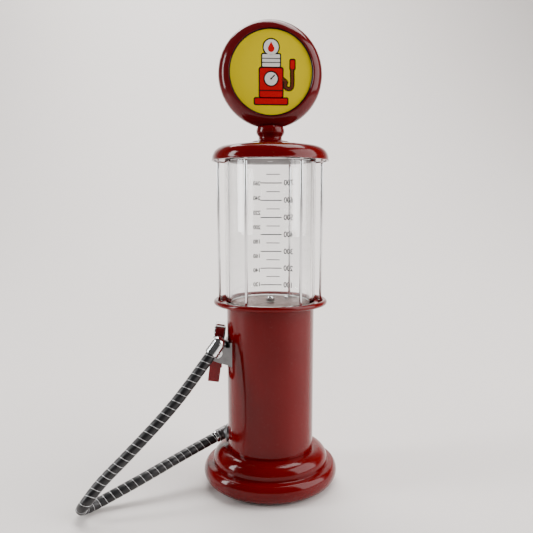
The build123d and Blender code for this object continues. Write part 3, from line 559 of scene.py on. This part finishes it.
def onto_tank(piece):
    """Bends a flat print, drawn in the XY plane in millimetres, round the tank's rear."""
    for vertex in piece.data.vertices:
        turn = -vertex.co.x / SCALE_R
        out = (SCALE_R + vertex.co.z) * MM
        vertex.co = Vector((out * math.sin(turn), out * math.cos(turn), vertex.co.y * MM))
    return piece


def printed_line(low_x, high_x, height, thick):
    """One line of the scale, divided so that it can bend round the tank."""
    alone()
    bpy.ops.mesh.primitive_grid_add(x_subdivisions=12, y_subdivisions=1, size=1.0)
    line = bpy.context.object
    line.data.transform(Matrix.Diagonal((high_x - low_x, thick, 1, 1)))
    line.data.transform(Matrix.Translation(((low_x + high_x) / 2, height, 0)))
    return line


def printed_figure(text, centre_x, height, tall):
    """A figure of the scale as a flat mesh."""
    alone()
    bpy.ops.object.text_add()
    figure = bpy.context.object
    figure.data.body = text
    figure.data.size = tall
    figure.data.align_x = "CENTER"
    figure.data.align_y = "CENTER"
    figure.data.resolution_u = 4
    figure.data.offset = 0.22
    bpy.ops.object.convert(target="MESH")
    figure.data.transform(Matrix.Translation((centre_x, height, 0)))
    return figure


prints = []
LARGE_FIRST, LARGE_STEP, SMALL_FIRST, SMALL_STEP = 212.3, 19.0, 212.9, 16.1
for number in range(7):
    height = LARGE_FIRST + LARGE_STEP * number
    prints.append(printed_line(-17.3, 8.7, height, 1.15))
    prints.append(printed_figure(str(100 * (number + 1)), -26.2, height, 8.6))
for number in range(8):
    prints.append(printed_figure(str(20 * (number + 1) + 100), 13.4, SMALL_FIRST + SMALL_STEP
                                 * number, 6.4))
for number in range(7):
    prints.append(printed_line(-14.9, 1.5, LARGE_FIRST + LARGE_STEP * (number + 0.5), 0.9))
alone()
for part in prints:
    part.select_set(True)
bpy.context.view_layer.objects.active = prints[0]
bpy.ops.object.join()
scale_print = bpy.context.object
scale_print.name = scale_print.data.name = "tank_scale"
onto_tank(scale_print)
thickness = scale_print.modifiers.new("thickness", "SOLIDIFY")
thickness.thickness = 0.00006
thickness.offset = 1.0
bpy.ops.object.modifier_apply(modifier="thickness")
shown_as(scale_print, scale_ink("scale_ink"), "pump", "trim_black")

# ---------------------------------------------------------------- tie rods and top ring
# Six plated rods with threaded ends pull the top ring down on the tank, under hexagon nuts.
rod_chrome = bare_metal("rod_chrome", (0.80, 0.80, 0.81), 0.16, 0.08)
ROD_R, THREAD_ROOT, THREAD_PITCH, ROD_TOP = 1.5, 1.28, 0.7, 352.4
rod_outline = [(0.0, 199.0), (1.3, 199.0), (ROD_R, 199.3), (ROD_R, 344.0)]
for thread in range(10):
    crest = 345.2 + THREAD_PITCH * thread
    rod_outline += [(ROD_R, crest), (THREAD_ROOT, crest + THREAD_PITCH / 2)]
rod_outline += [(ROD_R, ROD_TOP - 0.3), (1.25, ROD_TOP), (0.0, ROD_TOP)]
for number in range(ROD_COUNT):
    rod = turned(f"rod_{number + 1}", rod_outline, 24)
    turn = math.radians(FIRST_ROD + 360 / ROD_COUNT * number)
    rod.data.transform(Matrix.Translation((ROD_RING * MM * math.cos(turn),
                                           ROD_RING * MM * math.sin(turn), 0)))
    shown_as(rod, rod_chrome, "pump", "rod_chrome", f"tie_rod_{number + 1}")

RING_TOP = 349.6
ring_outline = sleeve(TANK_BORE, 57.2, 347.6, RING_TOP, 0.3, 0.3)
shown_as(turned("clamp_ring", ring_outline, 160), red_enamel, "pump", "paint_red", "top_ring")


def ends_selected(nut, upright):
    """Selects the faces of a nut that look up or down this squarely, and goes to edit mode."""
    bpy.ops.mesh.select_all(action="DESELECT")
    bpy.ops.object.mode_set(mode="OBJECT")
    for face in nut.data.polygons:
        face.select = abs(face.normal.z) > upright
    bpy.ops.object.mode_set(mode="EDIT")


def hexagon_nut(name, across_flats, low, high):
    """A hexagon nut with chamfered corners, upright on the Z axis, in millimetres."""
    alone()
    bpy.ops.mesh.primitive_cylinder_add(vertices=6, radius=across_flats / math.sqrt(3) * MM,
                                        depth=(high - low) * MM,
                                        location=(0, 0, (low + high) / 2 * MM))
    nut = bpy.context.object
    nut.name = nut.data.name = name
    bpy.ops.object.mode_set(mode="EDIT")
    bpy.ops.mesh.select_mode(type="FACE")
    ends_selected(nut, 0.9)
    bpy.ops.mesh.bevel(offset=0.3 * MM, segments=2)
    ends_selected(nut, 0.99)
    bpy.ops.mesh.inset(thickness=0.25 * MM)
    bpy.ops.object.mode_set(mode="OBJECT")
    return settled(nut, 20)


rod_nut = hexagon_nut("rod_nut", 5.0, RING_TOP, 352.0)
rod_nut.data.transform(Matrix.Translation((ROD_RING * MM, 0, 0)))
shown_as(round_about(rod_nut, ROD_COUNT, FIRST_ROD), zinc, "pump", "steel", "rod_nuts")

# ---------------------------------------------------------------- lid
# A pressed dome with a turned-out edge, enamelled like the base. A plug on its underside sits in
# the tank's mouth, with a seal under its flange. Plug, seal and the tank's upper gasket are
# coloured dark reddish brown as painted shade for the shadow under the lid.
LID_WALL = 2.0
SHOULDER, SHOULDER_R, SHOULDER_END = (47.6, 348.7), 12.4, 79.9
CROWN_CENTRE, CROWN_R, CROWN_START = (0.0, 81.07), 284.23, 80.6
lid_outline = (
    [(58.0, 347.0), (58.2, 346.8), (60.3, 346.8), (60.6, 347.0), (60.6, 347.3), (60.3, 347.6),
     (60.0, 348.7)]
    + arc(*SHOULDER, SHOULDER_R, 4, SHOULDER_END, 20)
    + arc(*CROWN_CENTRE, CROWN_R, CROWN_START, 90.0, 16)
    + arc(*CROWN_CENTRE, CROWN_R - LID_WALL, 90.0, CROWN_START, 10)
    + arc(*SHOULDER, SHOULDER_R - LID_WALL, SHOULDER_END, 0, 10)
)
shown_as(turned("lid_dome", lid_outline, 160), red_enamel, "lid_assembly", "paint_red", "lid")


def moulding(name, dark, light, rough):
    """Moulded plastic: an even colour with flow marks and a fine spark-eroded grain."""
    material, start, shader, where = new_finish(name, {})
    flow = start.noise(stretched(start, where, (30.0, 30.0, 14.0)), 1.0, 3.0)
    put(shader, start.tree, "Base Color", start.mixed(flow, rgba(dark), rgba(light)))
    put(shader, start.tree, "Roughness", flow * 0.12 + rough)
    put(shader, start.tree, "Normal", bumped(start, start.noise(where, 1600.0, 2.0), 0.00004))
    return material


# Painted shade: this dark reddish brown on the plug, the lid's seal and the tank's upper gasket
# stands for the shadow under the lid; the lower gasket is milky silicone.
under_lid_shade_finish = moulding("liner_black", (0.020, 0.006, 0.005), (0.035, 0.012, 0.010), 0.45)
for name in ("lid_liner", "lid_seal", "tank_gasket_upper"):
    dressed(nodes[name], under_lid_shade_finish)
dressed(nodes["liner_screw"], zinc)

# ---------------------------------------------------------------- neck
# A turned spool between the lid and the sign, with a flared foot and a round bead on top.


def eased(points, ways, count):
    """A smooth outline through points, with a given direction at each."""
    line = []
    for (p, q), (v, w) in zip(zip(points, points[1:]), zip(ways, ways[1:])):
        p, q = Vector(p), Vector(q)
        reach = (q - p).length
        for i in range(count):
            t = i / count
            line.append(tuple(p * (1 + 2 * t) * (1 - t) ** 2 + Vector(v) * reach * t * (1 - t) ** 2
                              + q * t * t * (3 - 2 * t) + Vector(w) * reach * t * t * (t - 1)))
    return line + [tuple(points[-1])]


neck_outline = (
    [(0.0, 365.32), (10.0, 365.1), (19.0, 364.7), (19.0, 366.1)]
    + eased([(18.6, 366.2), (11.7, 369.8), (14.4, 375.6), (12.8, 381.2)],
            [(-1.0, 0.10), (0.0, 1.0), (0.0, 1.0), (-0.7, 0.7)], 10)
    + [(0.0, 381.2)]
)
shown_as(turned("neck_spool", neck_outline), red_enamel, "lid_assembly", "paint_red", "neck")
for name in ("neck_stud", "neck_nut"):
    dressed(nodes[name], zinc)

# ---------------------------------------------------------------- sign
# A hollow drum with a bulging rim, moulded in glossy red, holding a printed disc in each face
# behind a thin black ring.
SIGN_Z = 432.1


def facing_front(piece, side=-1):
    """Turns a piece made upright on the Z axis so that its top faces the front, or the rear."""
    piece.data.transform(Matrix.Translation((0, 0, SIGN_Z * MM))
                         @ Matrix.Rotation(math.radians(-90 * side), 4, "X"))
    return piece


drum_outline = (
    [(42.0, -13.3), (42.2, -13.5)]
    + arc(38.45, 0.0, 14.25, -71.3, 71.3, 30)
    + [(42.2, 13.5), (42.0, 13.3), (42.0, 9.5), (39.5, 9.5), (39.5, 8.0)]
    + arc(41.13, 0.0, 9.07, 61.9, -61.9, 16)
    + [(39.5, -8.0), (39.5, -9.5), (42.0, -9.5)]
)
sign_red = enamel("sign_red", (0.105, 0.0045, 0.0060), (0.080, 0.0030, 0.0042), 0.08)
drum = facing_front(turned("sign_drum", drum_outline, 160))
shown_as(drum, sign_red, "lid_assembly", "sign_red", "sign_shell")


def printed_gloss(name, colour, deep):
    """Ink under a glossy clear film: an even colour, faint print grain and soft wipe marks."""
    material, start, shader, where = new_finish(name, {"Coat Roughness": 0.05,
                                                       "Specular IOR Level": 0.07})
    grain = start.noise(where, 1400.0, 1.0)
    tone = start.noise(where, 14.0, 2.0)
    put(shader, start.tree, "Base Color",
        start.mixed(start.between(tone + grain * 0.3, 0.35, 0.95), rgba(colour), rgba(deep)))
    put(shader, start.tree, "Roughness", start.between(tone, 0.3, 0.7, 0.22, 0.34))
    put(shader, start.tree, "Coat Weight", 0.07 - 0.03 * grain)
    put(shader, start.tree, "Normal", bumped(start, grain, 0.00002, 0.4))
    return material


print_yellow = printed_gloss("print_yellow", (0.66, 0.53, 0.0001), (0.60, 0.48, 0.0001))
print_black = printed_gloss("print_black", (0.008, 0.007, 0.007), (0.016, 0.014, 0.013))
print_red = printed_gloss("print_red", (0.50, 0.004, 0.008), (0.42, 0.003, 0.006))
print_white = printed_gloss("print_white", (0.72, 0.71, 0.68), (0.66, 0.65, 0.62))
print_brown = printed_gloss("print_brown", (0.13, 0.035, 0.015), (0.10, 0.025, 0.010))
for name in ("sign_panel_front", "sign_panel_rear"):
    dressed(nodes[name], print_yellow)
for end, side in (("front", -1), ("rear", 1)):
    trim = turned(f"face_ring_{end}", [(40.8, 11.5), (41.95, 11.5), (41.95, 12.4), (41.7, 12.7),
                                       (41.1, 12.7), (40.8, 12.4)], 160)
    facing_front(trim, side)
    shown_as(trim, print_black, "lid_assembly", "trim_black", f"panel_trim_{end}")


def disc(x, z, r, count=48):
    """A round outline."""
    return [(x + r * math.cos(2 * math.pi * i / count), z + r * math.sin(2 * math.pi * i / count))
            for i in range(count)]


def block(low_x, low_z, high_x, high_z, r):
    """An upright rectangle with rounded corners."""
    outline = []
    for x, z, start in ((high_x - r, high_z - r, 0), (low_x + r, high_z - r, 90),
                        (low_x + r, low_z + r, 180), (high_x - r, low_z + r, 270)):
        outline += arc(x, z, r, start, start + 90, 6)
    return outline


def band(line, width):
    """The outline of a band of this width along a line."""
    left, right = [], []
    for number, place in enumerate(line):
        before, after = line[max(number - 1, 0)], line[min(number + 1, len(line) - 1)]
        way = (Vector(after) - Vector(before)).normalized()
        off = Vector((-way.y, way.x)) * (width / 2)
        left.append(tuple(Vector(place) + off))
        right.append(tuple(Vector(place) - off))
    return left + right[::-1]


def printed_shape(name, outlines, layer, material, side):
    """Flat printed shapes on the sign's disc. Each layer of ink lies just above the last."""
    shapes = []
    for outline in outlines:
        alone()
        bpy.ops.mesh.primitive_circle_add(vertices=len(outline), radius=1, fill_type="NGON")
        shape = bpy.context.object
        for vertex, (x, z) in zip(shape.data.vertices, outline):
            vertex.co = Vector((x, z, 0)) * MM
        shapes.append(shape)
    alone()
    for shape in shapes:
        shape.select_set(True)
    bpy.context.view_layer.objects.active = shapes[0]
    if len(shapes) > 1:
        bpy.ops.object.join()
    piece = bpy.context.object
    piece.name = piece.data.name = name
    bpy.ops.object.mode_set(mode="EDIT")
    bpy.ops.mesh.select_all(action="SELECT")
    bpy.ops.mesh.normals_make_consistent(inside=False)
    bpy.ops.mesh.quads_convert_to_tris()
    bpy.ops.object.mode_set(mode="OBJECT")
    if piece.data.polygons[0].normal.z < 0:
        piece.data.flip_normals()
    ink = piece.modifiers.new("ink", "SOLIDIFY")
    ink.thickness = 0.05 * MM
    ink.offset = 1.0
    bpy.ops.object.modifier_apply(modifier="ink")
    upright = Matrix.Rotation(math.radians(90), 4, "X")
    turn = Matrix.Rotation(math.radians(180 if side > 0 else 0), 4, "Z")
    away = Matrix.Translation((0, side * (11.5 + 0.05 * layer) * MM, SIGN_Z * MM))
    piece.data.transform(away @ turn @ upright)
    return shown_as(piece, material, "lid_assembly", "panel_yellow")


hose_loop = ([(11.0, -6.0), (14.5, -8.5)] + arc(17.5, -12.0, 3.6, 130, 350, 12)
             + [(21.2, -8.0), (21.0, 3.0)])
for end, side in (("front", -1), ("rear", 1)):
    printed_shape(f"pump_outline_{end}", [
        block(-17.5, -31.5, 17.5, -23.5, 2.0), block(-12.5, -25.0, 12.5, 5.5, 2.5),
        block(-10.0, 3.0, 10.0, 18.5, 2.0), disc(0.0, 24.0, 8.6),
        band(hose_loop, 4.6), block(18.0, 2.0, 24.5, 13.5, 2.2)], 0, print_black, side)
    printed_shape(f"pump_red_{end}", [
        block(-16.2, -30.2, 16.2, -24.8, 1.2), block(-11.2, -23.6, 11.2, 4.2, 1.6),
        block(19.2, 3.4, 23.3, 12.2, 1.4)], 1, print_red, side)
    printed_shape(f"pump_white_{end}", [
        block(-8.7, 5.6, 8.7, 17.2, 1.0), disc(0.0, 24.0, 7.3)], 1, print_white, side)
    printed_shape(f"pump_hose_{end}", [band(hose_loop, 2.2)], 1, print_brown, side)
    printed_shape(f"pump_dial_rim_{end}", [disc(0.0, -6.0, 7.6)], 2, print_black, side)
    printed_shape(f"pump_dial_{end}", [disc(0.0, -6.0, 6.3)], 3, print_white, side)
    printed_shape(f"pump_marks_{end}", [
        band([(0.0, -6.0), (3.6, -2.2)], 1.2), disc(0.0, -6.0, 1.2),
        band([(-8.7, 9.5), (8.7, 9.5)], 0.8), band([(-8.7, 13.3), (8.7, 13.3)], 0.8),
        band([(-11.2, -17.2), (11.2, -17.2)], 1.0)], 4, print_black, side)
    printed_shape(f"pump_drop_{end}", [
        arc(0.0, 22.6, 3.3, -200, 20, 20) + [(0.0, 29.2)]], 2, print_red, side)

# ---------------------------------------------------------------- outlet
# A dark nickel rosette and ferrule where the hose leaves the column.
dark_nickel = bare_metal("dark_nickel", (0.20, 0.20, 0.205), 0.26, 0.14)
for name in ("outlet_rosette", "outlet_ferrule"):
    dressed(nodes[name], dark_nickel)


def collar(name, far, length, outer, inner, rounding=0.0003):
    """A crimped collar round the hose, standing this far along it."""
    place, way = next((p, w) for p, w, d in hose_stations if d >= far)
    outline = ([(inner, -length / 2), (outer - rounding, -length / 2),
                (outer, -length / 2 + rounding), (outer, length / 2 - rounding),
                (outer - rounding, length / 2), (inner, length / 2)])
    made = turned(name, [(r / MM, z / MM) for r, z in outline], 48)
    turn = Vector((0, 0, 1)).rotation_difference(way).to_matrix().to_4x4()
    made.data.transform(Matrix.Translation(place) @ turn)
    return made


outlet_collar = collar("outlet_collar", 0.0042, 0.0028, 0.0066, 0.0050)
shown_as(outlet_collar, chrome, "pump", "chrome")
outlet_sleeve = collar("outlet_sleeve", 0.0014, 0.0026, 0.0070, 0.0048, 0.0006)
shown_as(outlet_sleeve, dark_nickel, "pump", "dark_nickel")

# ---------------------------------------------------------------- nozzle
# A plated casing with a cap, an inlet with a ball joint for the hose's ferrule, a curved spout,
# and a glossy red guard round a plated trigger. A red cover faces the front.
nozzle_red = enamel("nozzle_red", (0.20, 0.008, 0.012), (0.14, 0.005, 0.008), 0.12)
for name in ("nozzle_body", "nozzle_cap", "spout", "hose_socket", "trigger"):
    dressed(nodes[name], chrome)
for name in ("trigger_guard", "grip_cover"):
    dressed(nodes[name], nozzle_red)
for name in ("trigger_pin", "valve_spring", "valve_stem"):
    dressed(nodes[name], zinc)

# ---------------------------------------------------------------- holster
# A dark plated saddle screwed to the column, with two arms whose slots hold the nozzle's barrel.
dressed(nodes["holster_bracket"], dark_nickel)
for name in ("holster_screws", "holster_nuts"):
    dressed(nodes[name], zinc)

# ---------------------------------------------------------------- floor, wall and light
# A pale sweep of paper for floor and wall, a large soft window on the right, a narrow one on the
# left, a wide soft light over the wall, and a dim room.
alone()
bpy.ops.mesh.primitive_plane_add(size=1.0)
sweep = bpy.context.object
sweep.name = sweep.data.name = "paper_sweep"
sweep.data.transform(Matrix.Diagonal((9.0, 4.0, 1, 1)))
bpy.ops.object.mode_set(mode="EDIT")
bpy.ops.mesh.select_mode(type="EDGE")
bpy.ops.mesh.select_all(action="DESELECT")
bpy.ops.object.mode_set(mode="OBJECT")
for edge in sweep.data.edges:
    edge.select = all(sweep.data.vertices[i].co.y > 1.9 for i in edge.vertices)
bpy.ops.object.mode_set(mode="EDIT")
WALL_BEND = 1.7
bend = [(WALL_BEND * math.sin(math.radians(a)), WALL_BEND * (1 - math.cos(math.radians(a))))
        for a in range(0, 91, 6)]
for before, after in zip(bend, bend[1:]):
    bpy.ops.mesh.extrude_region_move(TRANSFORM_OT_translate={
        "value": (0, after[0] - before[0], after[1] - before[1])})
bpy.ops.mesh.extrude_region_move(TRANSFORM_OT_translate={"value": (0, 0, 3.5)})
bpy.ops.object.mode_set(mode="OBJECT")
sweep.data.transform(Matrix.Translation((0, -1.6, 0)))
settled(sweep, 60)


def paper(name):
    """Matt paper, hardly uneven."""
    material, start, shader, where = new_finish(name, {"Specular IOR Level": 0.3})
    tone = start.noise(where, 1.2, 2.0)
    put(shader, start.tree, "Base Color",
        start.mixed(tone, rgba((0.70, 0.665, 0.645)), rgba((0.74, 0.71, 0.69))))
    put(shader, start.tree, "Roughness", tone * 0.1 + 0.5)
    return material


dressed(sweep, paper("pale_paper"))

room = bpy.data.worlds.new("room")
room.use_nodes = True
room.node_tree.nodes["Background"].inputs["Color"].default_value = (0.90, 0.88, 0.87, 1.0)
room.node_tree.nodes["Background"].inputs["Strength"].default_value = 0.09
bpy.context.scene.world = room


def window(name, place, aim, width, height, power, colour=(1.0, 1.0, 1.0)):
    """A soft rectangular light that faces a point."""
    data = bpy.data.lights.new(name, "AREA")
    data.shape = "RECTANGLE"
    data.size, data.size_y = width, height
    data.energy = power
    data.color = colour
    lamp = bpy.data.objects.new(name, data)
    lamp.location = place
    lamp.rotation_euler = (Vector(aim) - Vector(place)).to_track_quat("-Z", "Y").to_euler()
    bpy.context.scene.collection.objects.link(lamp)


window("right_window", (1.55, -0.52, 0.95), (0.0, 0.0, 0.25), 1.6, 1.7, 50.0, (1.0, 0.97, 0.96))
window("left_slit", (-1.5, -0.15, 0.78), (0.0, 0.0, 0.60), 0.36, 1.15, 26.0)
window("overhead", (0.1, 0.85, 2.1), (0.0, 0.75, 0.0), 2.8, 1.1, 95.0, (1.0, 0.975, 0.955))
